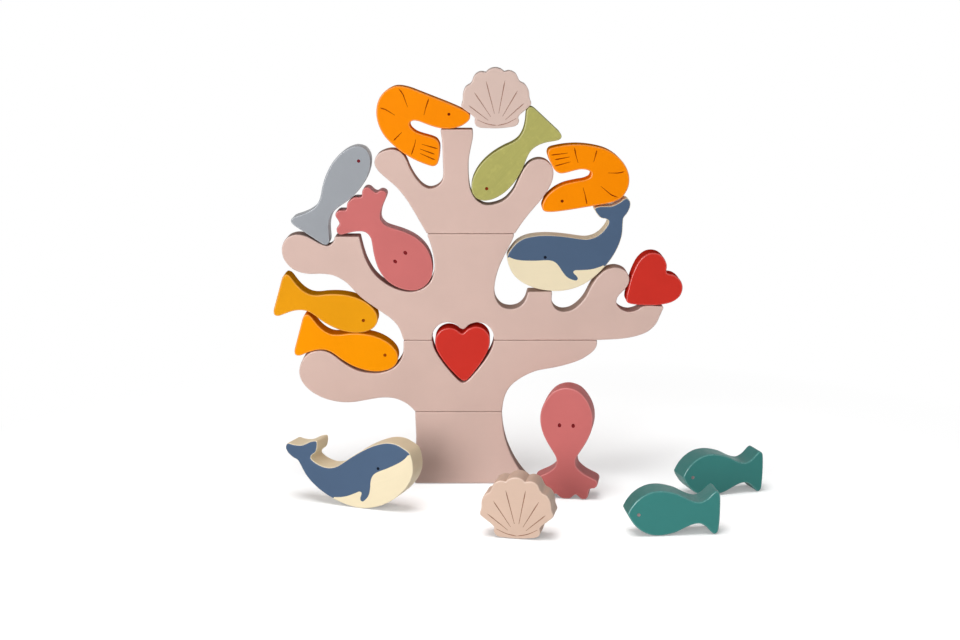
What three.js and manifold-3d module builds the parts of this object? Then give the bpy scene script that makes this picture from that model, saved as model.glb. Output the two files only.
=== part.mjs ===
// Stacking balance game: a coral tree of four loose tiers and sixteen sea creatures, all cut from board.
// Millimetres, +Z up. The tree faces -Y and the origin is the middle of the trunk's foot.
import * as THREE from 'three';
import { mergeVertices } from 'three/addons/utils/BufferGeometryUtils.js';
import loadManifold from 'manifold-3d';

// Board and edges
const BOARD = 18;
const EDGE = 1;
const SEAT_GAP = 0.3;
const FLATNESS = 0.09;

// Tree tiers, each with its own width and height
const BASE_WIDTH = 86;
const BASE_HEIGHT = 54.2;
const LOWER_WIDTH = 215.5;
const LOWER_HEIGHT = 53;
const MIDDLE_WIDTH = 273.3;
const MIDDLE_HEIGHT = 77.4;
const CROWN_WIDTH = 126;
const CROWN_HEIGHT = 73.8;

// Left and right end of each seam, shared by the two tiers that meet there
const LOWER_SEAM_LEFT = -42.2;
const LOWER_SEAM_RIGHT = 21.2;
const MIDDLE_SEAM_LEFT = -50;
const MIDDLE_SEAM_RIGHT = 89.8;
const CROWN_SEAM_LEFT = -32.8;
const CROWN_SEAM_RIGHT = 29.9;

// Heart window on the seam between the lower and the middle tier
const WINDOW_CLEARANCE = 2.3;
const WINDOW_X = -7.2;
const WINDOW_DROP = 5.5;

// Creatures
const HEART_WIDTH = 39;
const HEART_HEIGHT = 39.7;
const SHRIMP_LENGTH = 64;
const SHRIMP_HEIGHT = 45.8;
const SHELL_WIDTH = 49;
const SHELL_HEIGHT = 42;
const SLIM_FISH_LENGTH = 73.8;
const SLIM_FISH_TAIL = 30.9;
const ROUND_FISH_LENGTH = 62;
const ROUND_FISH_DEPTH = 30.8;
const OCTOPUS_WIDTH = 45.2;
const OCTOPUS_HEIGHT = 81;
const WHALE_LENGTH = 87;
const WHALE_HEIGHT = 66.4;

// Floor spots of the creatures that stand in front of the tree
const STANDING_WHALE_X = -88.9;
const STANDING_WHALE_Y = -52.8;
const STANDING_OCTOPUS_X = 67.2;
const STANDING_OCTOPUS_Y = -36.5;
const FRONT_SHELL_X = 30.5;
const FRONT_SHELL_Y = -121.8;
const FRONT_TEAL_FISH_X = 131.9;
const FRONT_TEAL_FISH_Y = -115.3;
const BACK_TEAL_FISH_X = 176.4;
const BACK_TEAL_FISH_Y = -27.6;

// Drilled eyes and engraved lines, on both faces
const EYE_DIAMETER = 2.6;
const EYE_DEPTH = 0.8;
const LINE_WIDTH = 1.2;
const LINE_DEPTH = 0.7;
const LINE_TAIL = 0.35;

const SHARP = 'sharp';
const wasm = await loadManifold();
wasm.setup();

// Outlines, as points in millimetres that a smooth curve runs through. A point marked SHARP is a corner.

// Upper half from nose to tail; the lower half is its mirror image
const SLIM_FISH = {
  points: mirrorDown([
    [36.5, 0], [34.6, 5.4], [29, 9.8], [21, 12.4], [13, 12.9], [5, 11.9], [-3, 9.6], [-9, 7.2],
    [-14, 6.2], [-19, 7], [-24, 9.3], [-29, 12.8], [-32.5, 15.2], [-35, 15.2], [-36.4, 13], [-36.6, 5],
  ]),
  eyes: [[27, -1.6]],
  lines: [],
};

const ROUND_FISH = {
  points: mirrorDown([
    [30.5, 0, SHARP], [28.3, 4.4], [25, 8.7], [20.8, 12.2], [15.4, 14.7], [9.6, 15.5], [4, 14.9],
    [-2.5, 13.1], [-8.8, 9.9], [-13.5, 8], [-17.5, 7.6], [-21.5, 9.6], [-25, 13.2], [-27.6, 15],
    [-29.6, 13.6], [-30.4, 9], [-30.6, 3],
  ]),
  eyes: [[23.2, -0.8]],
  lines: [],
};

// Right half from top to bottom; the left half is its mirror image
const HEART = {
  points: mirrorAcross([
    [0, 11.8], [4.5, 15], [10, 16.2], [15, 14.3], [18.4, 9.5], [18.6, 3], [15.8, -4], [10.5, -12],
    [5, -18.6], [2, -21.6], [0, -22.4],
  ]),
  eyes: [],
  lines: [],
};

const OCTOPUS = {
  points: mirrorAcross([
    [0, 43.4], [8, 41.2], [14, 35.2], [17.6, 28], [18.7, 21], [17.5, 13], [14, 5], [10, -1.5], [7, -7],
    [7.4, -12], [12, -16.5], [18, -19.6], [22, -21.9], [22.7, -24.2], [21, -26.8], [17.4, -27.8],
    [16.3, -30.6], [15.9, -33.4], [14.2, -35.2], [11.4, -35.2], [9.3, -33.6], [7.2, -32.3], [5.1, -33.6],
    [3, -35.2], [0, -35.4],
  ]),
  eyes: [[-4.8, 16.8], [4.8, 16.8]],
  lines: [],
};

const SHELL = {
  points: mirrorAcross([
    [0, 21.7], [4, 20.7], [6.5, 18.7, SHARP], [10, 19.3], [14, 17.4], [17.2, 11.6, SHARP], [20.7, 9.4],
    [22.9, 5.2], [23.4, 0.2, SHARP], [24.5, -2.2], [24.2, -4.7], [22.6, -6.2], [15.8, -12],
    [15.1, -13.4], [15.6, -15.4], [14.6, -17.9], [12.6, -19.2], [6, -20], [0, -20.3],
  ]),
  eyes: [],
  lines: [
    [[-19.6, -3.4], [-6, -14.5]], [[19.6, -3.4], [6, -14.5]],
    [[-15.3, 5.6], [-4.1, -12.1]], [[15.3, 5.6], [4.1, -12.1]],
    [[-6.7, 13.2], [-1.5, -10]], [[6.7, 13.2], [1.5, -10]],
    [[0, -18.4], [7, -16.9], [13.7, -13.8]], [[0, -18.4], [-7, -16.9], [-13.7, -13.8]],
  ],
};

// Head to the right, back up, tail curled under
const SHRIMP = {
  points: [
    [-25.1, 17.9], [-18, 19.9], [-7, 20.3], [6, 20.4], [18, 20.2], [26, 19.6], [30.2, 18.2], [31.2, 15.5],
    [29.8, 11.8], [26.5, 7.8], [21, 4.2], [14, 1.8], [6, 1], [-2, 0.8], [-5.6, -0.4], [-6.8, -2.6],
    [-5.4, -4.9], [-0.5, -6.7], [5, -6.6], [11, -6], [15, -6.4], [18, -8.8], [20, -13.5], [21.3, -18.5],
    [21.4, -22.4], [19.5, -24.7], [14, -25.4], [6, -25.3], [-3, -24], [-12, -21.3], [-20, -17.6],
    [-26.5, -12], [-31, -5], [-32.8, 2.5], [-32, 9], [-29.3, 14],
  ],
  eyes: [[16.5, 13.3]],
  lines: [
    [[-22.8, 17.1], [-18.4, 14.4], [-14.5, 10], [-12, 7.3]], [[-30.1, -0.2], [-25.7, 0], [-18.4, -1.2]],
    [[-0.5, 18.5], [-0.2, 11.9], [0.5, 6.2]], [[-13.1, -18.3], [-9.6, -10.5]],
    [[2.2, -22.8], [2, -17.2], [1.3, -11.5]], [[18, -12], [6.4, -13.2]],
    [[17.5, -16.4], [6.3, -16.7]], [[19.4, -20], [7.4, -19.6]],
  ],
};

// Head to the left, tail raised at the right
const WHALE = {
  points: [
    [-52.8, -12], [-50, -6.8], [-46.3, -2.3], [-40, 1.2], [-31, 2.9], [-22, 3.1], [-12, 2.3], [-3, 1],
    [4, 0.5], [9.5, 1.9], [14.2, 5.2], [17.8, 9.8], [19, 13], [17.6, 14.5], [13.4, 15.6], [10.3, 18.8],
    [8.4, 22.4, SHARP], [12.6, 23.6], [21, 24], [26, 26.2], [31, 29.4], [33.7, 27.6], [34.1, 23.8],
    [32, 18.8], [29.6, 15.6], [29.1, 11], [28.6, 3.5], [26, -5], [21, -14.1], [14, -22.5], [6, -29.5],
    [-3, -34.4], [-14, -36.9], [-25, -36.6], [-35, -34.1], [-43.5, -29.7], [-49.3, -23.6],
  ],
  eyes: [[-25.8, -12.6]],
  lines: [],
};

// Tiers, counter-clockwise from the left end of the seam below, heights above that seam
const BASE = [
  [-43, 0, SHARP], [43, 0, SHARP], [36.5, 7.5], [31.4, 15], [27.6, 22.5], [24.6, 30.5], [22.6, 39],
  [21.6, 47], [LOWER_SEAM_RIGHT, 54.2, SHARP], [LOWER_SEAM_LEFT, 54.2, SHARP], [-41.6, 38], [-41.8, 18],
];

const LOWER = [
  [LOWER_SEAM_LEFT, 0, SHARP], [LOWER_SEAM_RIGHT, 0, SHARP], [21.9, 6], [23.5, 12.2], [26.4, 17.8],
  [31, 22.4], [38, 26.9], [46, 30.3], [56, 32.2], [66, 34.5], [77.4, 38.4], [83, 41.8], [87.3, 45.4],
  [89.4, 49.3],
  [MIDDLE_SEAM_RIGHT, 53, SHARP], [MIDDLE_SEAM_LEFT, 53, SHARP], [-50.5, 43.5], [-53, 37.4],
  [-58, 32.4], [-66, 29.4], [-74, 29], [-83.5, 30.8], [-93, 36], [-101, 42.2], [-106, 44.8],
  [-112, 45.4], [-118.5, 43.6], [-123.6, 38.2], [-126, 30], [-124.4, 23], [-119, 16.2], [-110, 10.6],
  [-99, 7.4], [-88, 6.9], [-77, 8.7], [-67, 10.3], [-57, 9.8], [-49, 6.4], [-44.4, 2.6],
];

const MIDDLE = [
  [MIDDLE_SEAM_LEFT, 0, SHARP], [MIDDLE_SEAM_RIGHT, 0, SHARP], [105, 0.8], [117, 2.8], [126, 6.4],
  [131.6, 12], [134.8, 19], [137.3, 25, SHARP], [122, 25], [117.5, 22.3], [112, 21], [107, 22.5],
  [103.8, 25.4], [102.9, 28.6], [104.2, 32.2], [108.4, 36.8], [111.4, 41.4], [111.6, 46.6], [108.4, 51],
  [102, 53.1], [95, 51.4], [89, 46.4], [84.2, 39], [80.4, 31.6], [75.8, 26], [70, 22], [63.7, 21.2],
  [59, 23.6], [56.7, 28.4], [56.9, 35.8, SHARP], [39.4, 35.6, SHARP], [37.2, 29], [33, 24.6],
  [27, 23.1], [21, 24.6], [16.8, 29.6], [15.5, 37], [16.8, 46.5], [20, 56], [24, 64.4], [27.6, 71.4],
  [CROWN_SEAM_RIGHT, 77.4, SHARP], [CROWN_SEAM_LEFT, 77.4, SHARP], [-29.9, 69], [-27.9, 60],
  [-27.6, 52], [-30.2, 43.4], [-36.2, 37.8], [-44.6, 35.6], [-53, 37], [-61.5, 41], [-69.8, 48],
  [-75.6, 57.5], [-79, 68], [-80.6, 75.4, SHARP], [-98.2, 75.4, SHARP], [-99, 72], [-102.8, 68.8],
  [-107.4, 69.8], [-112, 72.2], [-118.4, 75.6], [-126, 76.8], [-132.4, 74.2], [-135.8, 67.6],
  [-135, 60], [-131.2, 54.2], [-125.4, 50.2], [-117, 48.3], [-108.4, 48.4], [-99, 47], [-90.4, 42],
  [-84.8, 36], [-78.6, 30], [-68, 22.4], [-58, 15], [-53.2, 9],
];

const CROWN = [
  [CROWN_SEAM_LEFT, 0, SHARP], [CROWN_SEAM_RIGHT, 0, SHARP], [33.6, 5.6], [39, 13], [46.6, 22],
  [53, 30.8], [56.6, 39.6], [56.2, 46.8], [51.8, 51.8], [46, 53.1], [40, 50.8], [35.6, 45.6],
  [32, 38.4], [28, 30.4], [22, 24], [14.6, 21], [8.4, 20.8], [2.8, 24], [-1, 30], [-2.6, 38],
  [-2.7, 52], [-1, 62], [0.2, 68], [0, 73.8, SHARP], [-22.8, 73.8, SHARP], [-21.6, 65], [-21.2, 52],
  [-21.2, 40], [-22.8, 36], [-26.4, 33.2], [-30.8, 32.3], [-35.4, 34.4], [-40.4, 40], [-44, 46.2],
  [-47, 53.2], [-50.6, 57.8], [-56, 59.8], [-62.4, 58.8], [-67.4, 55.6], [-69.2, 50], [-66.8, 44.8],
  [-61, 39.2], [-54.6, 33.6], [-48.6, 26.6], [-43, 18], [-37.4, 8],
];

function mirrorDown(half) {
  const back = half.filter(([, z]) => z > 0).reverse();
  return [...half, ...back.map(([x, z]) => [x, -z])];
}

function mirrorAcross(half) {
  const back = half.filter(([x]) => x > 0).reverse();
  return [...half, ...back.map(([x, z, corner]) => [-x, z, corner])];
}

function extent(points, axis) {
  const values = points.map((p) => p[axis]);
  return Math.max(...values) - Math.min(...values);
}

// Brings a creature's outline, eyes and lines to its length and height
function sized(creature, length, height) {
  const sx = length / extent(creature.points, 0);
  const sz = height / extent(creature.points, 1);
  const scale = ([x, z, corner]) => [x * sx, z * sz, corner];
  return {
    outline: trace(creature.points.map(scale)),
    eyes: creature.eyes.map(scale),
    lines: creature.lines.map((line) => line.map(scale)),
  };
}

// A creature turned over left for right
function turnedOver(creature) {
  const flip = ([x, z, corner]) => [-x, z, corner];
  return {
    points: creature.points.map(flip),
    eyes: creature.eyes.map(flip),
    lines: creature.lines.map((line) => line.map(flip)),
  };
}

// Points along a closed outline, smooth between its sharp corners and no denser than it needs
function trace(points) {
  const first = points.findIndex((p) => p[2] === SHARP);
  if (first < 0) {
    return thin(curveThrough(points, true)).slice(0, -1);
  }
  const turned = [...points.slice(first), ...points.slice(0, first)];
  const outline = [];
  let stretch = [turned[0]];
  for (const p of [...turned.slice(1), turned[0]]) {
    stretch.push(p);
    if (p[2] === SHARP) {
      outline.push(...clearOfEnds(thin(curveThrough(stretch, false))).slice(0, -1));
      stretch = [p];
    }
  }
  return outline;
}

// Leaves out points so near a sharp corner that its broken edge would cross them
function clearOfEnds(points) {
  const room = 2.5 * EDGE;
  const last = points.length - 1;
  const away = (p, end) => Math.hypot(p[0] - points[end][0], p[1] - points[end][1]) > room;
  return points.filter((p, i) => i === 0 || i === last || (away(p, 0) && away(p, last)));
}

function curveThrough(points, closed) {
  const stepsPerPoint = 12;
  const spots = points.map(([x, z]) => new THREE.Vector3(x, z, 0));
  const curve = new THREE.CatmullRomCurve3(spots, closed, 'centripetal');
  const spans = closed ? points.length : points.length - 1;
  return curve.getPoints(spans * stepsPerPoint).map((p) => [p.x, p.y]);
}

// Leaves out points that lie within FLATNESS of a straight line between the ones kept
function thin(points) {
  const kept = [points[0]];
  let start = 0;
  points.forEach((p, end) => {
    const skipped = points.slice(start + 1, end);
    if (skipped.some((q) => distanceToSegment(q, points[start], p) > FLATNESS)) {
      start = end - 1;
      kept.push(points[start]);
    }
  });
  kept.push(points[points.length - 1]);
  return kept;
}

function distanceToSegment(p, a, b) {
  const dx = b[0] - a[0];
  const dz = b[1] - a[1];
  const along = ((p[0] - a[0]) * dx + (p[1] - a[1]) * dz) / (dx * dx + dz * dz || 1);
  const t = Math.min(1, Math.max(0, along));
  return Math.hypot(p[0] - a[0] - t * dx, p[1] - a[1] - t * dz);
}

function isInside(p, outline) {
  let inside = false;
  outline.forEach((a, i) => {
    const b = outline[(i + 1) % outline.length];
    const crosses = (a[1] > p[1]) !== (b[1] > p[1]);
    if (crosses && p[0] < a[0] + ((p[1] - a[1]) * (b[0] - a[0])) / (b[1] - a[1])) {
      inside = !inside;
    }
  });
  return inside;
}

// Whether every corner of one outline stands clear of the other
function standsOff(outline, other) {
  return outline.every((p) => !isInside(p, other) && other.every((a, i) => (
    distanceToSegment(p, a, other[(i + 1) % other.length]) >= SEAT_GAP
  )));
}

function isClear(outline, placed) {
  return placed.every((other) => standsOff(outline, other) && standsOff(other, outline));
}

function place(outline, [x, z], angle) {
  const c = Math.cos(angle);
  const s = Math.sin(angle);
  return outline.map((p) => [x + p[0] * c - p[1] * s, z + p[0] * s + p[1] * c]);
}

// Where an outline comes to rest when it is pushed from its spot along a heading, or is backed out of it
function settle(outline, spot, angle, heading, placed) {
  const stride = 0.5;
  const longest = 400;
  const halvings = 8;
  const at = (t) => [spot[0] + heading[0] * t, spot[1] + heading[1] * t];
  const clearAt = (t) => isClear(place(outline, at(t), angle), placed);
  const step = clearAt(0) ? stride : -stride;
  let t = 0;
  for (let i = 0; i < longest && clearAt(t + step) === (step > 0); i += 1) {
    t += step;
  }
  let clear = step > 0 ? t : t + step;
  let blocked = clear + stride;
  for (let i = 0; i < halvings; i += 1) {
    const between = (clear + blocked) / 2;
    if (clearAt(between)) {
      clear = between;
    } else {
      blocked = between;
    }
  }
  return at(clear);
}

function shapeOf(outline) {
  return new THREE.Shape(outline.map(([x, z]) => new THREE.Vector2(x, z)));
}

// A solid standing in the XZ plane from an extrusion along Z, its front towards -Y
function upright(geometry) {
  geometry.rotateX(Math.PI / 2);
  return geometry;
}

// A block of board with its edges broken on both faces
function boardBlock(outline) {
  const geometry = new THREE.ExtrudeGeometry(shapeOf(outline), {
    depth: BOARD - 2 * EDGE,
    bevelThickness: EDGE,
    bevelSize: EDGE,
    bevelOffset: -EDGE,
    bevelSegments: 1,
  });
  geometry.translate(0, 0, EDGE - BOARD / 2);
  return upright(geometry);
}

// A cutter that reaches a depth into both faces of the board
function bothFaces(makeCutter, depth) {
  const reach = BOARD / 2 - depth;
  const over = BOARD / 2 + EDGE;
  return [makeCutter(-over, -reach), makeCutter(reach, over)];
}

function eyeCutters([x, z]) {
  const sides = 12;
  return bothFaces((from, to) => {
    const drill = new THREE.CylinderGeometry(EYE_DIAMETER / 2, EYE_DIAMETER / 2, to - from, sides);
    drill.translate(x, (from + to) / 2, z);
    return drill;
  }, EYE_DEPTH);
}

// An engraved line, full width where it starts and narrowing to LINE_TAIL of that at its end
function lineCutters(points) {
  const spots = points.length > 2 ? thin(curveThrough(points, false)) : points;
  const left = [];
  const right = [];
  spots.forEach((p, i) => {
    const a = spots[Math.max(0, i - 1)];
    const b = spots[Math.min(spots.length - 1, i + 1)];
    const length = Math.hypot(b[0] - a[0], b[1] - a[1]);
    const share = 1 - (1 - LINE_TAIL) * (i / (spots.length - 1));
    const side = (LINE_WIDTH / 2) * share / length;
    left.push([p[0] - (b[1] - a[1]) * side, p[1] + (b[0] - a[0]) * side]);
    right.unshift([p[0] + (b[1] - a[1]) * side, p[1] - (b[0] - a[0]) * side]);
  });
  return bothFaces((from, to) => {
    const stroke = new THREE.ExtrudeGeometry(shapeOf([...left, ...right]), {
      depth: to - from,
      bevelEnabled: false,
    });
    stroke.translate(0, 0, -to);
    return upright(stroke);
  }, LINE_DEPTH);
}

function solidOf(geometry) {
  const weld = 1e-4;
  geometry.deleteAttribute('normal');
  geometry.deleteAttribute('uv');
  const merged = mergeVertices(geometry, weld);
  return new wasm.Manifold(new wasm.Mesh({
    numProp: 3,
    vertProperties: new Float32Array(merged.attributes.position.array),
    triVerts: new Uint32Array(merged.index.array),
  }));
}

function geometryOf(solid) {
  const mesh = solid.getMesh();
  const geometry = new THREE.BufferGeometry();
  geometry.setAttribute('position', new THREE.BufferAttribute(mesh.vertProperties, mesh.numProp));
  geometry.setIndex(new THREE.BufferAttribute(mesh.triVerts, 1));
  geometry.computeVertexNormals();
  return geometry;
}

function paint(colour, roughness) {
  return new THREE.MeshStandardMaterial({ color: colour, roughness, metalness: 0 });
}

const paints = {
  coral: paint(0xd7b9af, 0.6),
  red: paint(0xcb352a, 0.5),
  shrimpOrange: paint(0xfd8d01, 0.55),
  shell: paint(0xdac0b4, 0.6),
  grey: paint(0x9ca0a7, 0.55),
  olive: paint(0xb0ac63, 0.6),
  mustard: paint(0xea9d11, 0.55),
  orange: paint(0xfe9a01, 0.55),
  teal: paint(0x3b807d, 0.55),
  pink: paint(0xcb6e6c, 0.55),
  whaleBlue: paint(0x4a607b, 0.55),
};

// One block's geometry from its outline, with its eyes drilled and its lines cut
function blockGeometry({ outline, eyes, lines }) {
  const cutters = [...eyes.flatMap(eyeCutters), ...lines.flatMap(lineCutters)];
  const board = solidOf(boardBlock(outline));
  return geometryOf(cutters.reduce((solid, cutter) => solid.subtract(solidOf(cutter)), board));
}

function blockMesh(name, creature, material) {
  const mesh = new THREE.Mesh(blockGeometry(creature), material);
  mesh.name = name;
  return mesh;
}

// The run of an outline's points that lies beyond a level, from its left end to its right end
function runBeyond(outline, level, side) {
  const count = outline.length;
  const point = (i) => outline[(i + count) % count];
  const isBeyond = (i) => (point(i)[1] - level) * side > 0;
  const crossing = (a, b) => [a[0] + ((level - a[1]) * (b[0] - a[0])) / (b[1] - a[1]), level];
  const start = outline.findIndex((p, i) => isBeyond(i) && !isBeyond(i - 1));
  const run = [crossing(point(start - 1), point(start))];
  let i = start;
  for (; isBeyond(i); i += 1) {
    run.push(point(i));
  }
  run.push(crossing(point(i - 1), point(i)));
  const fromLeft = run[0][0] < run[run.length - 1][0] ? run : run.reverse();
  return clearOfEnds(fromLeft);
}

// Lets a run of points into the straight edge of an outline that lies on the run's level
function letIn(outline, run) {
  const level = run[0][1];
  const slack = 1e-6;
  const next = (i) => outline[(i + 1) % outline.length];
  const isOnLevel = (p) => Math.abs(p[1] - level) < slack;
  const edge = outline.findIndex((p, i) => isOnLevel(p) && isOnLevel(next(i)));
  const goesRight = outline[edge][0] < next(edge)[0];
  const inserted = goesRight ? run : [...run].reverse();
  return [...outline.slice(0, edge + 1), ...inserted, ...outline.slice(edge + 1)];
}

// A tier brought to its height on the seam below it, its arms drawn out beyond its trunk to its width
function makeTier(points, width, height, seam, left, right) {
  const trunk = right - left;
  const reach = (width - trunk) / (extent(points, 0) - trunk);
  const sz = height / extent(points, 1);
  const drawn = (x) => {
    const nearest = Math.min(right, Math.max(left, x));
    return nearest + (x - nearest) * reach;
  };
  const spot = ([x, z, corner]) => [drawn(x), seam + z * sz, corner];
  return { outline: trace(points.map(spot)), spot };
}

// The four tiers, with the heart's window shared by the two that meet at its seam
const lowerSeam = BASE_HEIGHT;
const middleSeam = lowerSeam + LOWER_HEIGHT;
const crownSeam = middleSeam + MIDDLE_HEIGHT;
const base = makeTier(BASE, BASE_WIDTH, BASE_HEIGHT, 0, LOWER_SEAM_LEFT, LOWER_SEAM_RIGHT);
const lower = makeTier(
  LOWER, LOWER_WIDTH, LOWER_HEIGHT, lowerSeam, MIDDLE_SEAM_LEFT, MIDDLE_SEAM_RIGHT,
);
const middle = makeTier(
  MIDDLE, MIDDLE_WIDTH, MIDDLE_HEIGHT, middleSeam, MIDDLE_SEAM_LEFT, MIDDLE_SEAM_RIGHT,
);
const crown = makeTier(
  CROWN, CROWN_WIDTH, CROWN_HEIGHT, crownSeam, CROWN_SEAM_LEFT, CROWN_SEAM_RIGHT,
);

const windowSpot = [WINDOW_X, middleSeam - WINDOW_DROP];
const windowHeart = sized(HEART, HEART_WIDTH + 2 * WINDOW_CLEARANCE, HEART_HEIGHT + 2 * WINDOW_CLEARANCE);
const windowOutline = place(windowHeart.outline, windowSpot, 0);
lower.outline = letIn(lower.outline, runBeyond(windowOutline, middleSeam, -1));
middle.outline = letIn(middle.outline, runBeyond(windowOutline, middleSeam, 1));

const tiers = [
  ['trunk_base', base],
  ['lower_branch', lower],
  ['middle_branch', middle],
  ['crown_branch', crown],
];

// The creatures at their sizes
const heart = sized(HEART, HEART_WIDTH, HEART_HEIGHT);
const shrimp = sized(SHRIMP, SHRIMP_LENGTH, SHRIMP_HEIGHT);
const shell = sized(SHELL, SHELL_WIDTH, SHELL_HEIGHT);
const slimFish = sized(SLIM_FISH, SLIM_FISH_LENGTH, SLIM_FISH_TAIL);
const slimFishTurned = sized(turnedOver(SLIM_FISH), SLIM_FISH_LENGTH, SLIM_FISH_TAIL);
const roundFish = sized(turnedOver(ROUND_FISH), ROUND_FISH_LENGTH, ROUND_FISH_DEPTH);
const octopus = sized(OCTOPUS, OCTOPUS_WIDTH, OCTOPUS_HEIGHT);
const whale = sized(WHALE, WHALE_LENGTH, WHALE_HEIGHT);
const whaleTurned = sized(turnedOver(WHALE), WHALE_LENGTH, WHALE_HEIGHT);

const game = new THREE.Group();
const placed = [];

for (const [name, { outline }] of tiers) {
  game.add(blockMesh(name, { outline, eyes: [], lines: [] }, paints.coral));
  placed.push(outline);
}

// Sets a creature down in the stack: its spot, its turn and the heading it is pushed along, in degrees
function setDown(name, creature, material, spot, turn, heading) {
  const angle = THREE.MathUtils.degToRad(turn);
  const way = THREE.MathUtils.degToRad(heading);
  const seat = settle(creature.outline, spot, angle, [Math.cos(way), Math.sin(way)], placed);
  const mesh = blockMesh(name, creature, material);
  mesh.position.set(seat[0], 0, seat[1]);
  mesh.rotation.y = -angle;
  game.add(mesh);
  placed.push(place(creature.outline, seat, angle));
}

// Stands a creature on the floor: where, how far it leans and which way it is turned, in degrees
function standUp(name, creature, material, [x, y], turn, yaw) {
  const angle = THREE.MathUtils.degToRad(turn);
  const lowest = Math.min(...place(creature.outline, [0, 0], angle).map((p) => p[1]));
  const mesh = blockMesh(name, creature, material);
  mesh.position.z = -lowest;
  mesh.rotation.y = -angle;
  const stand = new THREE.Group();
  stand.position.set(x, y, 0);
  stand.rotation.z = THREE.MathUtils.degToRad(yaw);
  stand.add(mesh);
  game.add(stand);
}

setDown('centre_heart', heart, paints.red, windowSpot, 2.5, -90);
setDown('orange_fish', slimFishTurned, paints.orange, lower.spot([-90.1, 48.4]), 164.6, -75);
setDown('mustard_fish', slimFish, paints.mustard, lower.spot([-105, 76.9]), -16, -25);
setDown('perched_octopus', octopus, paints.pink, middle.spot([-66.8, 78.4]), -139.5, -49.5);
setDown('grey_fish', slimFish, paints.grey, middle.spot([-94, 111.2]), 56.2, -123.8);
setDown('perched_whale', whale, paints.whaleBlue, middle.spot([77.3, 73.6]), 0, -90);
setDown('side_heart', heart, paints.red, middle.spot([131.5, 52]), -53, -105);
setDown('olive_fish', slimFishTurned, paints.olive, crown.spot([27.2, 53.1]), 47.1, -132.9);
setDown('left_shrimp', shrimp, paints.shrimpOrange, crown.spot([-36.8, 77.9]), -21.5, -90);
setDown('right_shrimp', shrimp, paints.shrimpOrange, crown.spot([78.2, 39.3]), -170.7, -163.3);
setDown('top_shell', shell, paints.shell, crown.spot([16.35, 96.2]), 2, -90);

standUp('standing_whale', whaleTurned, paints.whaleBlue, [STANDING_WHALE_X, STANDING_WHALE_Y], 27.5, -20.7);
standUp('standing_octopus', octopus, paints.pink, [STANDING_OCTOPUS_X, STANDING_OCTOPUS_Y], 0, -9);
standUp('front_shell', shell, paints.shell, [FRONT_SHELL_X, FRONT_SHELL_Y], 2, -11.4);
standUp('front_teal_fish', roundFish, paints.teal, [FRONT_TEAL_FISH_X, FRONT_TEAL_FISH_Y], -1, 5.6);
standUp('back_teal_fish', roundFish, paints.teal, [BACK_TEAL_FISH_X, BACK_TEAL_FISH_Y], -0.8, 16);

export default game;
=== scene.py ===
import math

import bmesh
import bpy
from mathutils import Matrix, Vector
from mathutils.kdtree import KDTree


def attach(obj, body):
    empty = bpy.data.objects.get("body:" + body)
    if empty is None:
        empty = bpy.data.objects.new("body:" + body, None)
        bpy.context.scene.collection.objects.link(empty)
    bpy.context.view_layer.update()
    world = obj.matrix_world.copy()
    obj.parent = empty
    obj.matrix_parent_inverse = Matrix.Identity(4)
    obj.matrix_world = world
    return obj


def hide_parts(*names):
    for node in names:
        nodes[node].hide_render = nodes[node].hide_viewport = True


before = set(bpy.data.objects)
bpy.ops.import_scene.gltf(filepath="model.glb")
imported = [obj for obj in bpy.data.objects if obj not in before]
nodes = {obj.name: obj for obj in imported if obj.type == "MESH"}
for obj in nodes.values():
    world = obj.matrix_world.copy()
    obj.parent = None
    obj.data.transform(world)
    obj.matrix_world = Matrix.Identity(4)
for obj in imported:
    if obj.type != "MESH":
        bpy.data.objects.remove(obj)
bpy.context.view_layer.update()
up = Vector((0, 0, 1))
mm = 0.001
print("stage: frame loaded,", len(nodes), "nodes")

board = {
    "edge": 1.0 * mm,  # how far below the face the outline starts on the solids
    "round": 1.0 * mm,  # radius of the round-over on both faces
    "roundSteps": 5,
    "spacing": 0.75 * mm,  # distance between points along an outline
    "straight": 14 * mm,  # a longer stretch is kept straight
    "seam": 0.1 * mm,  # each tier stays this far inside its outline, so that the seams show
    "cornerTurn": 42,  # degrees, a sharper turn is a corner
    "cornerRadius": 1.25 * mm,
    "cornerReach": 3.2 * mm,  # how far along its sides a corner may be rounded
    "innerReach": 0.5 * mm,  # points left out beside a corner that turns inwards
    "straightStep": 2 * mm,
    "arcStep": 0.35 * mm,
    "merge": 0.005 * mm,
    "level": 0.02 * mm,  # points this near in depth lie on one level
    "rimRise": 0.2, "rimFall": 0.5,  # shares of the round-over over which its sheen and its painted highlight come and go
    "smoothAngle": 35,  # degrees, sharper edges stay crisp
}


def selectOnly(piece):
    bpy.ops.object.select_all(action="DESELECT")
    piece.select_set(True)
    bpy.context.view_layer.objects.active = piece


def applyModifier(piece, kind, **values):
    selectOnly(piece)
    modifier = piece.modifiers.new(kind.lower(), kind)
    for key, value in values.items():
        setattr(modifier, key, value)
    bpy.ops.object.modifier_apply(modifier=modifier.name)


def mergedCopy(nodeName):
    copy = nodes[nodeName].copy()
    copy.data = nodes[nodeName].data.copy()
    copy.parent = None
    bpy.context.scene.collection.objects.link(copy)
    selectOnly(copy)
    bpy.ops.object.mode_set(mode="EDIT")
    bpy.ops.mesh.select_all(action="SELECT")
    bpy.ops.mesh.remove_doubles(threshold=board["merge"])
    bpy.ops.object.mode_set(mode="OBJECT")
    return copy


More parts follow.
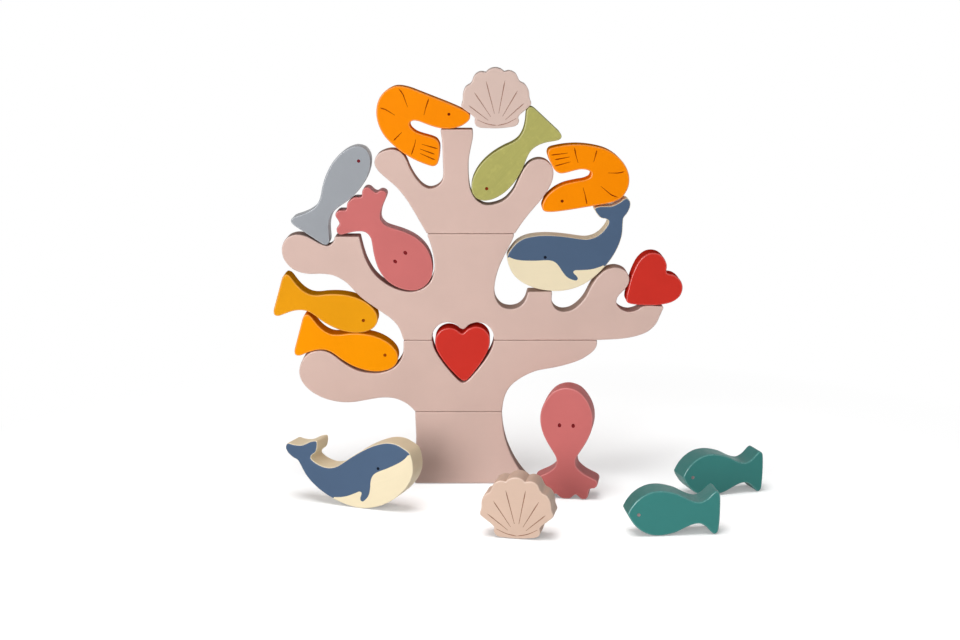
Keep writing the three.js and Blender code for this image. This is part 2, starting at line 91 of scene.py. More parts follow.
def readBlock(nodeName):
    copy = mergedCopy(nodeName)
    mesh = copy.data
    front = {}
    for face in mesh.polygons:  # the front is the flat side with the most area
        if face.normal.y < -0.5 and abs(face.normal.z) < 0.001:
            key = round(face.normal.x, 3)
            total, normal = front.get(key, (0, face.normal.copy()))
            front[key] = (total + face.area, normal)
    normal = max(front.values(), key=lambda entry: entry[0])[1]
    normal = Vector((normal.x, normal.y, 0)).normalized()
    across = up.cross(normal)
    depth = [v.co.dot(normal) for v in mesh.vertices]
    face, back = max(depth), min(depth)
    rim = {i for i, d in enumerate(depth) if abs(d - face + board["edge"]) < board["level"]}
    beside = {}
    for edge in mesh.edges:
        a, b = edge.vertices
        if a in rim and b in rim:
            beside.setdefault(a, []).append(b)
            beside.setdefault(b, []).append(a)
    start = min(beside)
    order, last = [start], None
    while True:
        here = order[-1]
        step = [i for i in beside[here] if i != last][0]
        last = here
        if step == start:
            break
        order.append(step)
    points = [Vector((mesh.vertices[i].co.dot(across), mesh.vertices[i].co.z)) for i in order]
    bpy.data.objects.remove(copy)
    if sum(a.cross(b) for a, b in zip(points, points[1:] + points[:1])) < 0:
        points.reverse()
    return {"normal": normal, "across": across, "face": face, "back": back, "outline": points}


def turned(p, degrees):
    angle = math.radians(degrees)
    c, s = math.cos(angle), math.sin(angle)
    return Vector((p.x * c - p.y * s, p.x * s + p.y * c))


def unturned(block, turn, flip):
    points = [turned(p, -turn) for p in block["outline"]]
    low = Vector((min(p.x for p in points), min(p.y for p in points)))
    high = Vector((max(p.x for p in points), max(p.y for p in points)))
    middle = (low + high) / 2
    block["centre"] = turned(middle, turn)
    points = [p - middle for p in points]
    if flip:
        points = [Vector((-p.x, p.y)) for p in reversed(points)]
    return points


def curveThrough(points, closed):
    count = len(points)
    spans = count if closed else count - 1
    smooth = []

    def at(i):
        return points[i % count] if closed else points[min(max(i, 0), count - 1)]

    for i in range(spans):
        a, b, c, d = at(i - 1), at(i), at(i + 1), at(i + 2)
        if not closed and i == 0:
            a = b * 2 - c
        if not closed and i == spans - 1:
            d = c * 2 - b
        t0, t1 = 0.0, max((b - a).length, 1e-9) ** 0.5
        t2 = t1 + max((c - b).length, 1e-9) ** 0.5
        t3 = t2 + max((d - c).length, 1e-9) ** 0.5
        steps = max(1, round((c - b).length / board["spacing"]))
        for k in range(steps):
            t = t1 + (t2 - t1) * k / steps
            ab = a * ((t1 - t) / (t1 - t0)) + b * ((t - t0) / (t1 - t0))
            bc = b * ((t2 - t) / (t2 - t1)) + c * ((t - t1) / (t2 - t1))
            cd = c * ((t3 - t) / (t3 - t2)) + d * ((t - t2) / (t3 - t2))
            abc = ab * ((t2 - t) / (t2 - t0)) + bc * ((t - t0) / (t2 - t0))
            bcd = bc * ((t3 - t) / (t3 - t1)) + cd * ((t - t1) / (t3 - t1))
            smooth.append(abc * ((t2 - t) / (t2 - t1)) + bcd * ((t - t1) / (t2 - t1)))
    if not closed:
        smooth.append(points[-1].copy())
    return smooth


def roundedCorner(before, corner, after):
    d1, d2 = (before - corner).normalized(), (after - corner).normalized()
    half = d1.angle(d2) / 2
    radius = board["cornerRadius"]
    reach = min(radius / math.tan(half), board["cornerReach"])
    radius = reach * math.tan(half)
    centre = corner + (d1 + d2).normalized() * (radius / math.sin(half))
    a, b = corner + d1 * reach - centre, corner + d2 * reach - centre
    sweep = a.angle_signed(b)
    steps = max(3, round(abs(sweep) * radius / board["arcStep"]))
    return [centre + turned(a, -math.degrees(sweep) * k / steps) for k in range(steps + 1)], reach


def straightened(points):
    dense = []
    for a, b in zip(points, points[1:] + points[:1]):
        length = (b - a).length
        steps = math.ceil(length / board["straightStep"]) if length > board["straight"] else 1
        dense.extend(a.lerp(b, k / steps) for k in range(steps))
    return dense


def smoothOutline(points):
    points = straightened(points)
    count = len(points)
    turns = []
    for i, p in enumerate(points):
        turn = (p - points[i - 1]).angle_signed(points[(i + 1) % count] - p)
        turns.append(-math.degrees(turn))  # left turns are outer corners
    corners = [i for i, t in enumerate(turns) if abs(t) > board["cornerTurn"]]
    if not corners:
        return curveThrough(points, True)
    ring = []
    for a, b in zip(corners, corners[1:] + [corners[0] + count]):
        stretch = curveThrough([points[i % count] for i in range(a, b + 1)], False)
        ends = []
        for index, corner in ((a, stretch[0]), (b, stretch[-1])):
            if turns[index % count] > 0:
                before, after = points[index % count - 1], points[(index + 1) % count]
                ends.append(roundedCorner(before, corner, after))
            else:
                ends.append(([corner], board["innerReach"]))
        first, last = stretch[0], stretch[-1]
        (arc, reach), (_, reachOfLast) = ends  # the last corner's arc comes with the next stretch
        room = board["spacing"] / 2  # no point so near an arc that it would kink
        ring.extend(arc)
        for p in stretch[1:-1]:
            if (p - first).length > reach + room and (p - last).length > reachOfLast + room:
                ring.append(p)
    return ring


def drawnIn(points, amount):
    inner = []
    for i, p in enumerate(points):
        a = (p - points[i - 1]).normalized()
        b = (points[(i + 1) % len(points)] - p).normalized()
        inner.append(p + Vector((-a.y - b.y, a.x + b.x)) * (amount / (1 + a.dot(b))))
    return inner


def cutBoard(name, outline, thick, roundOver):
    bpy.ops.object.select_all(action="DESELECT")
    bpy.ops.mesh.primitive_circle_add(vertices=len(outline), radius=0.05, fill_type="NGON")
    piece = bpy.context.object
    piece.name = name
    for v, p in zip(piece.data.vertices, outline):
        v.co = (p.x, -thick / 2, p.y)
    bpy.ops.object.mode_set(mode="EDIT")
    bpy.ops.mesh.select_all(action="SELECT")
    bpy.ops.mesh.extrude_region_move(TRANSFORM_OT_translate={"value": (0, thick, 0)})
    bpy.ops.mesh.select_all(action="SELECT")
    bpy.ops.mesh.normals_make_consistent(inside=False)
    bpy.ops.mesh.select_mode(type="EDGE")
    bpy.ops.mesh.select_all(action="DESELECT")
    shape = bmesh.from_edit_mesh(piece.data)
    for edge in shape.edges:  # the rims of both faces
        a, b = edge.verts
        edge.select = abs(a.co.y - b.co.y) < board["level"]
    bmesh.update_edit_mesh(piece.data)
    bpy.ops.mesh.bevel(offset=roundOver, segments=board["roundSteps"], profile=0.5,
                       affect="EDGES", clamp_overlap=False)
    bpy.ops.object.mode_set(mode="OBJECT")
    return piece


def markEdges(piece, thick, roundOver, paints):
    carved = {i for face in piece.data.polygons if face.material_index >= paints for i in face.vertices}
    piece.data.attributes.new("rim", "FLOAT", "POINT")
    piece.data.attributes.new("flank", "FLOAT", "POINT")
    rim, flank = piece.data.attributes["rim"].data, piece.data.attributes["flank"].data
    for i, v in enumerate(piece.data.vertices):  # how far round the edge each point lies
        inset = min(1.0, max(0.0, (thick / 2 - abs(v.co.y)) / roundOver))
        share = 0.0 if i in carved else math.acos(1 - inset) / (math.pi / 2)
        rim[i].value = min(1.0, share / board["rimRise"]) * min(1.0, (1 - share) / board["rimFall"])
        flank[i].value = share


def carve(piece, cutters):
    for cutter in cutters:
        applyModifier(piece, "BOOLEAN", operation="DIFFERENCE", solver="EXACT",
                      object=cutter, material_mode="TRANSFER")
        bpy.data.objects.remove(cutter)


stroke = {"start": 0.35, "swell": 4, "steps": 12, "resolution": 3}  # a line starts thin and swells fast
dimple = {"around": 24, "rings": 16}


def strokeCutter(points, middle, thick, line, side):
    path = bpy.data.curves.new("stroke", "CURVE")
    path.dimensions = "3D"
    path.bevel_depth = line["radius"]
    path.bevel_resolution = stroke["resolution"]
    path.use_fill_caps = True
    flat = [Vector((x - middle[0], z - middle[1])) * mm for x, z in points]
    if len(flat) > 2:
        flat = curveThrough(flat, False)
    else:
        flat = [flat[0].lerp(flat[1], k / stroke["steps"]) for k in range(stroke["steps"] + 1)]
    spline = path.splines.new("POLY")
    spline.points.add(len(flat) - 1)
    for i, (spot, p) in enumerate(zip(spline.points, flat)):
        share = i / (len(flat) - 1)
        spot.co = (p.x, side * (thick / 2 + line["lift"]), p.y, 1)
        swell = min(1, stroke["start"] + stroke["swell"] * share)
        spot.radius = swell * (1 - (1 - line["tail"]) * share)
    cutter = bpy.data.objects.new("stroke", path)
    bpy.context.scene.collection.objects.link(cutter)
    selectOnly(cutter)
    bpy.ops.object.convert(target="MESH")
    return bpy.context.object


def eyeCutter(spot, middle, thick, eye, side):
    x, z = (spot[0] - middle[0]) * mm, (spot[1] - middle[1]) * mm
    bpy.ops.object.select_all(action="DESELECT")
    bpy.ops.mesh.primitive_uv_sphere_add(segments=dimple["around"], ring_count=dimple["rings"], radius=1)
    cutter = bpy.context.object
    wide, tall, deep = eye["wide"] / 2, eye["tall"] / 2, eye["deep"]
    level = side * (thick / 2 + eye["lift"])
    for v in cutter.data.vertices:  # a shallow round dimple, its poles across the board
        v.co = (x + v.co.x * wide, level + v.co.z * deep, z - v.co.y * tall)
    return cutter


# Paints

def tone(r, g, b):
    shares = [v / 255 for v in (r, g, b)]
    return tuple(v / 12.92 if v <= 0.04045 else ((v + 0.055) / 1.055) ** 2.4 for v in shares) + (1,)


def shade(colour, factor):
    return tuple(min(1.0, v * factor) for v in colour[:3]) + (1,)


def node(tree, kind, **values):
    made = tree.nodes.new(kind)
    for key, value in values.items():
        if hasattr(made, key):
            setattr(made, key, value)
        else:
            made.inputs[key].default_value = value
    return made


def mixed(tree, factor, a, b, blend="MIX"):
    mix = node(tree, "ShaderNodeMix", data_type="RGBA", blend_type=blend)
    for socket, value in ((mix.inputs[0], factor), (mix.inputs[6], a), (mix.inputs[7], b)):
        if isinstance(value, bpy.types.NodeSocket):
            tree.links.new(value, socket)
        else:
            socket.default_value = value
    return mix.outputs[2]


def ranged(tree, value, limits, toLow, toHigh):
    span = node(tree, "ShaderNodeMapRange")
    for i, number in enumerate((*limits, toLow, toHigh), 1):
        span.inputs[i].default_value = number
    tree.links.new(value, span.inputs[0])
    return span.outputs[0]


def noise(tree, vector, scale, detail, rough=0.5, distort=0.0):
    made = node(tree, "ShaderNodeTexNoise")
    made.inputs["Scale"].default_value = scale
    made.inputs["Detail"].default_value = detail
    made.inputs["Roughness"].default_value = rough
    made.inputs["Distortion"].default_value = distort
    tree.links.new(vector, made.inputs["Vector"])
    return made.outputs[0]


patterns = {
    "broad": {"scale": 26, "detail": 3},
    "grain": {"scale": 1, "detail": 6, "rough": 0.62, "distort": 0.8},
    "blotch": {"scale": 210, "detail": 5, "rough": 0.6, "distort": 0.4},
    "fine": {"scale": 2600, "detail": 2},
    "char": {"scale": 900, "detail": 3},
}
wood = {
    "grainStretch": (28, 160, 340),  # fine across the block, long along it
    "spread": (0.3, 0.7), "streaks": (0.42, 0.68), "spots": (0.52, 0.66), "wearHighlightSpots": (0.35, 0.65),
    "broadDark": 0.965, "broadLight": 1.035, "leastWearHighlight": 0.25,
    "flankShading": (0.7, 1), "dulled": (0.5, 1),  # how far round the edge the flank's painted shade and its gloss begin and are full
    "handled": -0.16, "roughSpread": 0.06,  # handled edges are smoother
    "grainHeight": 0.6, "bumpDepth": 0.06 * mm,
}
burn = {"dark": 0.75, "light": 1.2, "roughLow": 0.6, "roughHigh": 0.8, "gloss": 0.04}


def paintedWood(name, finish, turn=0, yaw=0):
    material = bpy.data.materials.new(name)
    material.use_nodes = True
    tree = material.node_tree
    shader = tree.nodes["Principled BSDF"]
    place = node(tree, "ShaderNodeTexCoord").outputs["Object"]
    along = node(tree, "ShaderNodeMapping")  # the grain runs along the block
    along.inputs["Rotation"].default_value = (0, math.radians(turn), math.radians(-yaw))
    tree.links.new(place, along.inputs["Vector"])
    stretch = node(tree, "ShaderNodeMapping")
    stretch.inputs["Scale"].default_value = wood["grainStretch"]
    tree.links.new(along.outputs[0], stretch.inputs["Vector"])
    broad = noise(tree, place, **patterns["broad"])
    grain = noise(tree, stretch.outputs[0], **patterns["grain"])
    blotch = noise(tree, along.outputs[0], **patterns["blotch"])
    fine = noise(tree, place, **patterns["fine"])
    colour = finish["colour"]
    dark, light = shade(colour, wood["broadDark"]), shade(colour, wood["broadLight"])
    varied = mixed(tree, ranged(tree, broad, wood["spread"], 0, 1), dark, light)
    streaks = ranged(tree, grain, wood["streaks"], 0, finish["grain"])
    varied = mixed(tree, streaks, varied, finish["grainColour"])
    spots = ranged(tree, blotch, wood["spots"], 0, finish["mottle"])
    varied = mixed(tree, spots, varied, finish["mottleColour"])
    rim = node(tree, "ShaderNodeAttribute", attribute_name="rim").outputs["Fac"]
    # painted highlight, partly wear: the round-over is mixed in spots towards a lighter colour, for rubbed
    # paint and for light caught by the rounded edge
    wearHighlightShare = node(tree, "ShaderNodeMath", operation="MULTIPLY")
    tree.links.new(rim, wearHighlightShare.inputs[0])
    wear = finish["wear"]
    tree.links.new(ranged(tree, blotch, wood["wearHighlightSpots"], wood["leastWearHighlight"] * wear, wear), wearHighlightShare.inputs[1])
    varied = mixed(tree, wearHighlightShare.outputs[0], varied, finish["wearColour"])
    flank = node(tree, "ShaderNodeAttribute", attribute_name="flank").outputs["Fac"]
    flankShading = ranged(tree, flank, wood["flankShading"], 0, 1)  # painted light and shade: the flank's colour is multiplied by a tone, darker on most blocks and lighter on the hearts, for how the light falls on the sides
    varied = mixed(tree, flankShading, varied, (finish["flankTone"],) * 3 + (1,), "MULTIPLY")
    tree.links.new(varied, shader.inputs["Base Color"])
    rough, spread = finish["rough"], wood["roughSpread"]
    satin = node(tree, "ShaderNodeMath", operation="MULTIPLY_ADD")
    tree.links.new(rim, satin.inputs[0])
    satin.inputs[1].default_value = wood["handled"]
    tree.links.new(ranged(tree, blotch, wood["spread"], rough - spread, rough + spread), satin.inputs[2])
    tree.links.new(satin.outputs[0], shader.inputs["Roughness"])
    sheen = node(tree, "ShaderNodeMath", operation="MULTIPLY_ADD")
    tree.links.new(rim, sheen.inputs[0])
    sheen.inputs[1].default_value = finish["rimGloss"]
    dulled = ranged(tree, flank, wood["dulled"], finish["gloss"], finish["flankGloss"])
    tree.links.new(dulled, sheen.inputs[2])
    tree.links.new(sheen.outputs[0], shader.inputs["Specular IOR Level"])
    height = node(tree, "ShaderNodeMath", operation="MULTIPLY_ADD")
    tree.links.new(grain, height.inputs[0])
    height.inputs[1].default_value = wood["grainHeight"]
    tree.links.new(fine, height.inputs[2])
    bump = node(tree, "ShaderNodeBump")
    bump.inputs["Strength"].default_value = finish["bump"]
    bump.inputs["Distance"].default_value = wood["bumpDepth"]
    tree.links.new(height.outputs[0], bump.inputs["Height"])
    tree.links.new(bump.outputs[0], shader.inputs["Normal"])
    return material


def burntLine(name, colour):
    material = bpy.data.materials.new(name)
    material.use_nodes = True
    tree = material.node_tree
    shader = tree.nodes["Principled BSDF"]
    place = node(tree, "ShaderNodeTexCoord").outputs["Object"]
    char = noise(tree, place, **patterns["char"])
    dark, light = shade(colour, burn["dark"]), shade(colour, burn["light"])
    charred = mixed(tree, ranged(tree, char, wood["spread"], 0, 1), dark, light)
    tree.links.new(charred, shader.inputs["Base Color"])
    rough = ranged(tree, char, wood["spread"], burn["roughLow"], burn["roughHigh"])
    tree.links.new(rough, shader.inputs["Roughness"])
    shader.inputs["Specular IOR Level"].default_value = burn["gloss"]
    return material


# The flank tone paints light and shade onto the sides: below 1 it darkens them, above 1 it lightens them
# The wear tone lightens the round-over, partly as rubbed wear and partly as a painted highlight
def finishOf(colour, rough=0.5, gloss=0.35, grain=0.1, mottle=0.06, wear=0.45, bump=0.35, rimGloss=0.8,
             flankGloss=0.0, flankTone=0.87, grainTone=0.93, mottleTone=1.05, wearHighlightTone=1.22):
    return {
        "colour": colour, "rough": rough, "gloss": gloss, "bump": bump,
        "rimGloss": rimGloss, "flankGloss": flankGloss, "flankTone": flankTone,
        "grain": grain, "grainColour": shade(colour, grainTone),
        "mottle": mottle, "mottleColour": shade(colour, mottleTone),
        "wear": wear, "wearColour": shade(colour, wearHighlightTone),
    }


# Finishing a block and setting it where its node is

def setDown(model, block, turn, flip, name):
    piece = model.copy()
    piece.data = model.data.copy()
    piece.name = name
    bpy.context.scene.collection.objects.link(piece)
    angle = math.radians(turn)
    c, s = math.cos(angle), math.sin(angle)
    across, normal = block["across"], block["normal"]
    x = (across * c + up * s) * (-1 if flip else 1)
    z = across * -s + up * c
    middle = across * block["centre"].x + up * block["centre"].y
    middle += normal * ((block["face"] + block["back"]) / 2)
    piece.data.transform(Matrix((x, -normal, z)).transposed().to_4x4())
    piece.data.transform(Matrix.Translation(middle))
    if flip:
        piece.data.flip_normals()
    return piece


def dress(piece, values, paints):
    for i, material in enumerate(paints):
        piece.data.materials[i] = material
    selectOnly(piece)
    bpy.ops.object.shade_smooth_by_angle(angle=math.radians(board["smoothAngle"]))
    applyModifier(piece, "WEIGHTED_NORMAL", keep_sharp=True, weight=100)
    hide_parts(values["node"])
    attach(piece, values["body"])


def yawOf(block):
    return math.degrees(math.atan2(block["across"].y, block["across"].x))


# Tree tiers

# the coral's sides are painted darker, as painted shade
coral = finishOf(tone(215, 185, 174), rough=0.5, gloss=0.2, flankTone=0.8, grain=0.07, mottle=0.06,
                 wear=0.35, wearHighlightTone=1.14)
tiers = {
    "trunkBase": {"node": "trunk_base", "body": "trunk", "slot": "coral_paint"},
    "lowerBranch": {"node": "lower_branch", "body": "lower_tier", "slot": "coral_paint"},
    "middleBranch": {"node": "middle_branch", "body": "middle_tier", "slot": "coral_paint"},
    "crownBranch": {"node": "crown_branch", "body": "crown_tier", "slot": "coral_paint"},
}
for name, values in tiers.items():
    block = readBlock(values["node"])
    outline = smoothOutline(drawnIn(unturned(block, 0, False), board["seam"]))
    thick = block["face"] - block["back"]
    model = cutBoard(name + "Model", outline, thick, board["round"])
    paint = paintedWood(name + "Paint", coral)
    model.data.materials.append(paint)
    markEdges(model, thick, board["round"], 1)
    piece = setDown(model, block, 0, False, name)
    bpy.data.objects.remove(model)
    dress(piece, values, [paint])
print("stage: tree tiers")


# Creatures: one model for each kind, then a copy in each place

def makeKind(kind, features, places, finishes, split=None):
    first = places[0]
    block = readBlock(first["node"])
    thick = block["face"] - block["back"]
    outline = smoothOutline(unturned(block, first["turn"], first["flip"]))
    roundOver = features.get("round", board["round"])
    model = cutBoard(kind + "Model", outline, thick, roundOver)
    if split:
        split(model, features, thick)
    for part in finishes[0]["parts"]:
        model.data.materials.append(bpy.data.materials.new(kind + part["name"] + "Slot"))
    marks = [mark for mark in ("line", "eye") if mark in features]
    markSlots = {mark: bpy.data.materials.new(kind + mark.title() + "Slot") for mark in marks}
    for material in markSlots.values():
        model.data.materials.append(material)
    cutters = []
    middle = features.get("middle")
    for side in (-1, 1):
        for points in features.get("lines", []):
            cutters.append(strokeCutter(points, middle, thick, features["line"], side))
            cutters[-1].data.materials.append(markSlots["line"])
        for spot in features.get("eyes", []):
            cutters.append(eyeCutter(spot, middle, thick, features["eye"], side))
            cutters[-1].data.materials.append(markSlots["eye"])
    carve(model, cutters)
    markEdges(model, thick, roundOver, len(finishes[0]["parts"]))
    for values, finish in zip(places, finishes):
        block = readBlock(values["node"])
        unturned(block, values["turn"], values["flip"])
        piece = setDown(model, block, values["turn"], values["flip"], values["name"])
        paints = [paintedWood(values["name"] + part["name"], part["finish"], values["turn"], yawOf(block))
                  for part in finish["parts"]]
        paints += [burntLine(values["name"] + mark.title(), finish[mark]) for mark in marks]
        dress(piece, values, paints)
    bpy.data.objects.remove(model)
    print("stage:", kind, len(places))


def plain(finish, **marks):
    return {"parts": [{"name": "Paint", "finish": finish}], **marks}


# Hearts

heart = {"round": 1.0 * mm}
# its round-over gets a strong painted highlight
# the red's sides are painted lighter, as painted light
heartRed = finishOf(tone(206, 46, 34), rough=0.42, gloss=0.14, flankTone=1.25, grain=0.08, mottle=0.05,
                    wear=0.5, wearHighlightTone=1.5)
hearts = [
    {"name": "centreHeart", "node": "centre_heart", "body": "centre_heart", "slot": "red_paint",
     "turn": 2.5, "flip": False},
    {"name": "sideHeart", "node": "side_heart", "body": "side_heart", "slot": "red_paint",
     "turn": -53, "flip": False},
]
makeKind("heart", heart, hearts, [plain(heartRed)] * 2)

# Shrimps

shrimp = {
    "middle": (-0.8, -2.5),
    "eyes": [(16.5, 13.3)],
    "eye": {"wide": 2.1 * mm, "tall": 2.1 * mm, "deep": 0.4 * mm, "lift": 0.04 * mm},
    "line": {"radius": 0.54 * mm, "lift": 0.2 * mm, "tail": 0.45},
    "lines": [
        [(-22.8, 17.1), (-18.4, 14.4), (-14.5, 10), (-12, 7.3)], [(-30.1, -0.2), (-25.7, 0), (-18.4, -1.2)],
        [(-0.5, 18.5), (-0.2, 11.9), (0.5, 6.2)], [(-13.1, -18.3), (-9.6, -10.5)],
        [(2.2, -22.8), (2, -17.2), (1.3, -11.5)], [(18, -12), (6.4, -13.2)],
        [(17.5, -16.4), (6.3, -16.7)], [(19.4, -20), (7.4, -19.6)],
    ],
}
shrimpOrange = finishOf(tone(255, 142, 1), rough=0.48, gloss=0.03, flankTone=1, grain=0.06, mottle=0.06,
                        wear=0.4, wearHighlightTone=1.1)
shrimps = [
    {"name": "leftShrimp", "node": "left_shrimp", "body": "left_shrimp", "slot": "shrimp_paint",
     "turn": -21.5, "flip": False},
    {"name": "rightShrimp", "node": "right_shrimp", "body": "right_shrimp", "slot": "shrimp_paint",
     "turn": -170.7, "flip": False},
]
makeKind("shrimp", shrimp, shrimps, [plain(shrimpOrange, line=tone(150, 50, 0), eye=tone(118, 26, 4))] * 2)

# Shells

shell = {
    "middle": (0, 0.7),
    "line": {"radius": 0.42 * mm, "lift": 0.16 * mm, "tail": 0.55},
    "lines": [
        [(-19.6, -3.4), (-6, -14.5)], [(19.6, -3.4), (6, -14.5)], [(-15.3, 5.6), (-4.1, -12.1)],
        [(15.3, 5.6), (4.1, -12.1)], [(-6.7, 13.2), (-1.5, -10)], [(6.7, 13.2), (1.5, -10)],
        [(0, -18.4), (7, -16.9), (13.7, -13.8)], [(0, -18.4), (-7, -16.9), (-13.7, -13.8)],
    ],
}
shellRose = finishOf(tone(218, 192, 181), rough=0.55, gloss=0.2, flankGloss=0.1, grain=0.07, mottle=0.06,
                     wear=0.4, wearHighlightTone=1.12)
shellSand = finishOf(tone(214, 185, 166), rough=0.55, gloss=0.2, flankGloss=0.3, flankTone=0.97,
                     grain=0.16, mottle=0.1, wear=0.4, wearHighlightTone=1.12)
shells = [
    {"name": "topShell", "node": "top_shell", "body": "top_shell", "slot": "shell_paint",
     "turn": 2, "flip": False},
    {"name": "frontShell", "node": "front_shell", "body": "front_shell", "slot": "shell_paint",
     "turn": 2, "flip": False},
]
makeKind("shell", shell, shells, [
    plain(shellRose, line=tone(164, 124, 108)),
    plain(shellSand, line=tone(158, 118, 98)),
])

# Slim fish

slimFish = {
    "middle": (0, 0),
    "eyes": [(27, -1.6)],
    "eye": {"wide": 2.4 * mm, "tall": 2.4 * mm, "deep": 0.45 * mm, "lift": 0.04 * mm},
}
slimFishes = [
    {"name": "mustardFish", "node": "mustard_fish", "body": "mustard_fish", "slot": "mustard_paint",
     "turn": -16, "flip": False},
    {"name": "orangeFish", "node": "orange_fish", "body": "orange_fish", "slot": "orange_paint",
     "turn": 164.6, "flip": True},
    {"name": "greyFish", "node": "grey_fish", "body": "grey_fish", "slot": "grey_paint",
     "turn": 56.2, "flip": False},
    {"name": "oliveFish", "node": "olive_fish", "body": "olive_fish", "slot": "olive_stain",
     "turn": 47.1, "flip": True},
]
mustard = finishOf(tone(236, 158, 14), rough=0.48, gloss=0.05, grain=0.07, mottle=0.06,
                   wear=0.4, wearHighlightTone=1.14)
orange = finishOf(tone(255, 154, 1), rough=0.48, gloss=0.03, grain=0.05, mottle=0.05, wear=0.4, wearHighlightTone=1.1)
# the grey's round-over gets a strong painted highlight
grey = finishOf(tone(152, 156, 162), rough=0.4, gloss=0.3, flankGloss=0.4, grain=0.16, mottle=0.2,
                wear=0.6, wearHighlightTone=1.4)
olive = finishOf(tone(177, 173, 98), rough=0.55, gloss=0.15, grain=0.5, mottle=0.6, wear=0.4,
                 grainTone=0.85, mottleTone=1.14, wearHighlightTone=1.18)
makeKind("slimFish", slimFish, slimFishes, [
    plain(mustard, eye=tone(138, 58, 8)),
    plain(orange, eye=tone(160, 64, 4)),
    plain(grey, eye=tone(120, 42, 50)),
    plain(olive, eye=tone(128, 40, 12)),
])

# Round fish

roundFish = {
    "middle": (0, 0),
    "eyes": [(23.6, -0.8)],
    "eye": {"wide": 2.4 * mm, "tall": 2.4 * mm, "deep": 0.45 * mm, "lift": 0.04 * mm},
}
roundFishes = [
    {"name": "frontTealFish", "node": "front_teal_fish", "body": "front_teal_fish", "slot": "teal_paint",
     "turn": -1, "flip": True},
    {"name": "backTealFish", "node": "back_teal_fish", "body": "back_teal_fish", "slot": "teal_paint",
     "turn": -0.8, "flip": True},
]
teal = finishOf(tone(52, 126, 121), rough=0.42, gloss=0.25, flankGloss=0.2, grain=0.1, mottle=0.1,
                wear=0.5, wearHighlightTone=1.3)
makeKind("roundFish", roundFish, roundFishes, [plain(teal, eye=tone(150, 134, 134))] * 2)

# Octopuses

octopus = {
    "middle": (0, 4.1),
    "eyes": [(-4.8, 17.3), (4.8, 17.3)],
    "eye": {"wide": 2.5 * mm, "tall": 3.1 * mm, "deep": 0.5 * mm, "lift": 0.04 * mm},
}
octopuses = [
    {"name": "perchedOctopus", "node": "perched_octopus", "body": "perched_octopus", "slot": "pink_paint",
     "turn": -139.5, "flip": False},
    {"name": "standingOctopus", "node": "standing_octopus", "body": "standing_octopus", "slot": "pink_paint",
     "turn": 0, "flip": False},
]
pink = finishOf(tone(203, 109, 107), rough=0.5, gloss=0.18, flankGloss=0.1, grain=0.1, mottle=0.08,
                wear=0.4, wearHighlightTone=1.2)
makeKind("octopus", octopus, octopuses, [plain(pink, eye=tone(128, 34, 38))] * 2)

# Whales

whale = {
    "middle": (-9.35, -3.75),
    "round": 0.8 * mm,
    "eyes": [(-25.8, -12.6)],
    "eye": {"wide": 2.2 * mm, "tall": 2.2 * mm, "deep": 0.4 * mm, "lift": 0.04 * mm},
    "printWrap": 0.19,  # share of the round-over that the blue covers, by depth
    "printClear": 0.7 * mm,  # the drawn edge stops this far from the rim and runs out to it
    "printEdge": [
        (-51.8, -12.2), (-47.9, -13.8), (-42.2, -14.8), (-32.9, -15), (-22.2, -14.8), (-18.6, -16.2),
        (-16.1, -18.7), (-13.5, -22.7), (-10.6, -26.3), (-7, -28.5), (-3.4, -29.2), (-2.4, -28.1),
        (-3.1, -26.3), (-4.9, -24.5), (-5.7, -23.1), (-4.6, -22), (-0.7, -21.8), (6.5, -21.3),
        (12.2, -19.8), (17.1, -17.6), (20.7, -14.8),
    ],
}
whales = [
    {"name": "perchedWhale", "node": "perched_whale", "body": "perched_whale", "slot": "whale_paint",
     "turn": 0, "flip": False},
    {"name": "standingWhale", "node": "standing_whale", "body": "standing_whale", "slot": "whale_paint",
     "turn": 27.5, "flip": True},
]


def insideLoop(p, loop):
    within = False
    for a, b in zip(loop, loop[1:] + loop[:1]):
        if (a.y > p.y) != (b.y > p.y) and p.x < a.x + (b.x - a.x) * (p.y - a.y) / (b.y - a.y):
            within = not within
    return within


def onFace(v):
    return Vector((v.co.x, v.co.z))


def splitPrint(model, features, thick):
    middle = Vector(features["middle"])
    path = curveThrough([(Vector(p) - middle) * mm for p in features["printEdge"]], False)
    shape = bmesh.new()
    shape.from_mesh(model.data)
    for side in (-1, 1):
        shape.faces.ensure_lookup_table()
        cap = max((f for f in shape.faces if f.normal.y * side > 0.9), key=lambda f: f.calc_area())
        loop = [onFace(v) for v in cap.verts]
        clear = [p for p in path if insideLoop(p, loop)
                 and min((p - q).length for q in loop) > features["printClear"]]
        start = min(cap.verts, key=lambda v: (onFace(v) - clear[0]).length)
        end = min(cap.verts, key=lambda v: (onFace(v) - clear[-1]).length)
        inside = [(p.x, side * thick / 2, p.y) for p in clear]
        other, _ = bmesh.utils.face_split(cap, start, end, coords=inside)
        printed = max((cap, other), key=lambda f: max(v.co.z for v in f.verts))
        rest = other if printed == cap else cap
        printed.material_index = 1
        tree = KDTree(len(printed.verts) + len(rest.verts))
        for mark, region in enumerate((rest, printed)):
            for v in region.verts:
                tree.insert((v.co.x, 0, v.co.z), mark)
        tree.balance()
        for face in shape.faces:  # the print runs on over the inner part of the round-over
            spot = face.calc_center_median()
            depth = thick / 2 - spot.y * side
            if face not in (printed, rest) and depth < features["printWrap"] * features["round"]:
                face.material_index = tree.find((spot.x, 0, spot.z))[1]
    shape.to_mesh(model.data)
    shape.free()


